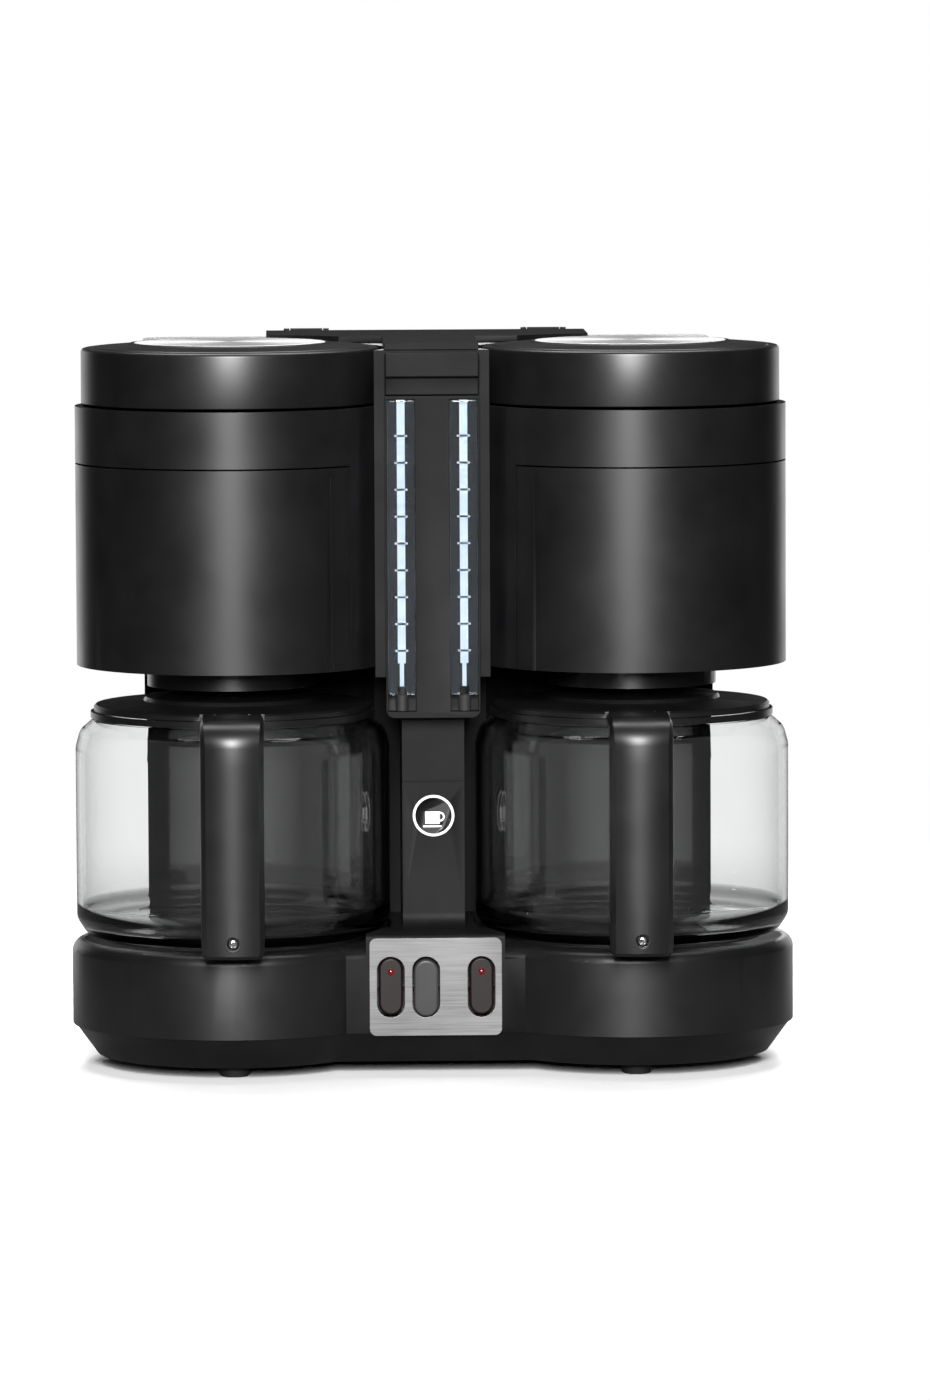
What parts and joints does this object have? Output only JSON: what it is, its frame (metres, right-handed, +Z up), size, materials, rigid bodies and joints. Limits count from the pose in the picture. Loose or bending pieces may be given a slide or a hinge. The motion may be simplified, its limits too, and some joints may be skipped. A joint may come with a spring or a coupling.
{
  "type": "twin filter coffee brewer",
  "caption": "Twin filter coffee brewer with glass jugs on hot plates, swing-out filter holders, central water gauges and a hinged tank lid.",
  "frame": {"origin": "centre of the whole box, on the surface that it stands on", "axes": "+X to the machine's right seen from the front, -Y is the front, +Z up"},
  "size_m": [0.3498, 0.246, 0.3512],
  "materials": {
    "black_casing": "satin moulded black plastic",
    "soft_black": "matt black rubber",
    "inner_plastic": "matt dark grey plastic",
    "plate_steel": "non-stick coated steel",
    "brushed_panel": "brushed steel",
    "steel_small": "bright steel",
    "pin_steel": "plain steel",
    "element_metal": "cast aluminium",
    "jug_glass": "clear borosilicate glass",
    "gauge_clear": "clear moulded plastic",
    "tank_clear": "translucent smoke plastic",
    "scale_white": "printed white",
    "badge_white": "printed white on black",
    "tube_silicone": "milky silicone",
    "lamp_red": "clear red plastic",
    "ceramic": "ceramic"
  },
  "bodies": {
    "base": {"base_housing": "black_casing", "base_plate": "black_casing", "feet": "soft_black", "base_screws": "pin_steel", "hot_plate_left": "plate_steel", "hot_plate_right": "plate_steel", "plate_seals": "soft_black", "heating_elements": "element_metal", "thermostats": "ceramic", "tower": "black_casing", "column": "black_casing", "back_cover": "black_casing", "back_screws": "pin_steel", "badge": "badge_white", "water_tank_left": "tank_clear", "water_tank_right": "tank_clear", "sight_tubes": "gauge_clear", "gauge_strips": "scale_white", "gauge_elbows": "soft_black", "gauge_frame": "black_casing", "top_block": "black_casing", "tank_lid_pins": "pin_steel", "brew_head_left": "black_casing", "brew_head_right": "black_casing", "head_cover_left": "black_casing", "head_cover_right": "black_casing", "cover_discs": "brushed_panel", "spray_heads": "inner_plastic", "riser_tubes": "tube_silicone", "holder_pins": "pin_steel", "switch_plate": "brushed_panel", "switch_bodies": "inner_plastic", "rocker_pins": "pin_steel", "cord_gland": "soft_black"},
    "tank_lid": {"tank_lid": "black_casing"},
    "holder_left": {"filter_holder_left": "black_casing", "filter_basket_left": "inner_plastic", "valve_spring_left": "steel_small"},
    "valve_left": {"drip_valve_left": "inner_plastic"},
    "jug_left": {"jug_glass_left": "jug_glass", "jug_lid_left": "black_casing", "jug_collar_left": "black_casing", "jug_handle_left": "black_casing", "handle_screw_left": "steel_small", "jug_lid_pin_left": "pin_steel"},
    "holder_right": {"filter_holder_right": "black_casing", "filter_basket_right": "inner_plastic", "valve_spring_right": "steel_small"},
    "valve_right": {"drip_valve_right": "inner_plastic"},
    "jug_right": {"jug_glass_right": "jug_glass", "jug_lid_right": "black_casing", "jug_collar_right": "black_casing", "jug_handle_right": "black_casing", "handle_screw_right": "steel_small", "jug_lid_pin_right": "pin_steel"},
    "rocker_left": {"rocker_left": "inner_plastic", "lamp_left": "lamp_red"},
    "rocker_middle": {"rocker_middle": "inner_plastic"},
    "rocker_right": {"rocker_right": "inner_plastic", "lamp_right": "lamp_red"}
  },
  "joints": [
    {"name": "tank_lid_hinge", "type": "hinge", "parent": "base", "child": "tank_lid", "pos_m": [0, 0.117, 0.3493], "axis": [-1, 0, 0], "range_deg": [0, 95]},
    {"name": "holder_left_swing", "type": "hinge", "parent": "base", "child": "holder_left", "pos_m": [-0.16144, 0.0136, 0.244], "axis": [0, 0, -1], "range_deg": [0, 75]},
    {"name": "jug_left_slide", "type": "slide", "parent": "base", "child": "jug_left", "axis": [-0.342, -0.9397, 0], "range_m": [0, 0.23]},
    {"name": "valve_left_drop", "type": "slide", "parent": "holder_left", "child": "valve_left", "axis": [0, 0, -1], "range_m": [0, 0.004], "deforming": ["valve_spring_left"]},
    {"name": "holder_right_swing", "type": "hinge", "parent": "base", "child": "holder_right", "pos_m": [0.16144, 0.0136, 0.244], "axis": [0, 0, 1], "range_deg": [0, 75]},
    {"name": "jug_right_slide", "type": "slide", "parent": "base", "child": "jug_right", "axis": [0.342, -0.9397, 0], "range_m": [0, 0.23]},
    {"name": "valve_right_drop", "type": "slide", "parent": "holder_right", "child": "valve_right", "axis": [0, 0, -1], "range_m": [0, 0.004], "deforming": ["valve_spring_right"]},
    {"name": "rocker_left_tilt", "type": "hinge", "parent": "base", "child": "rocker_left", "pos_m": [-0.0215, -0.0624, 0.0435], "axis": [1, 0, 0], "range_deg": [0, 8]},
    {"name": "rocker_middle_tilt", "type": "hinge", "parent": "base", "child": "rocker_middle", "pos_m": [-0.0046, -0.0624, 0.0435], "axis": [-1, 0, 0], "range_deg": [0, 8]},
    {"name": "rocker_right_tilt", "type": "hinge", "parent": "base", "child": "rocker_right", "pos_m": [0.0219, -0.0624, 0.0435], "axis": [1, 0, 0], "range_deg": [0, 8]}
  ],
  "couplings": [
    {"joint": "valve_left_drop", "follows": "jug_left_slide", "ratio": 0.0173},
    {"joint": "valve_right_drop", "follows": "jug_right_slide", "ratio": 0.0173}
  ]
}
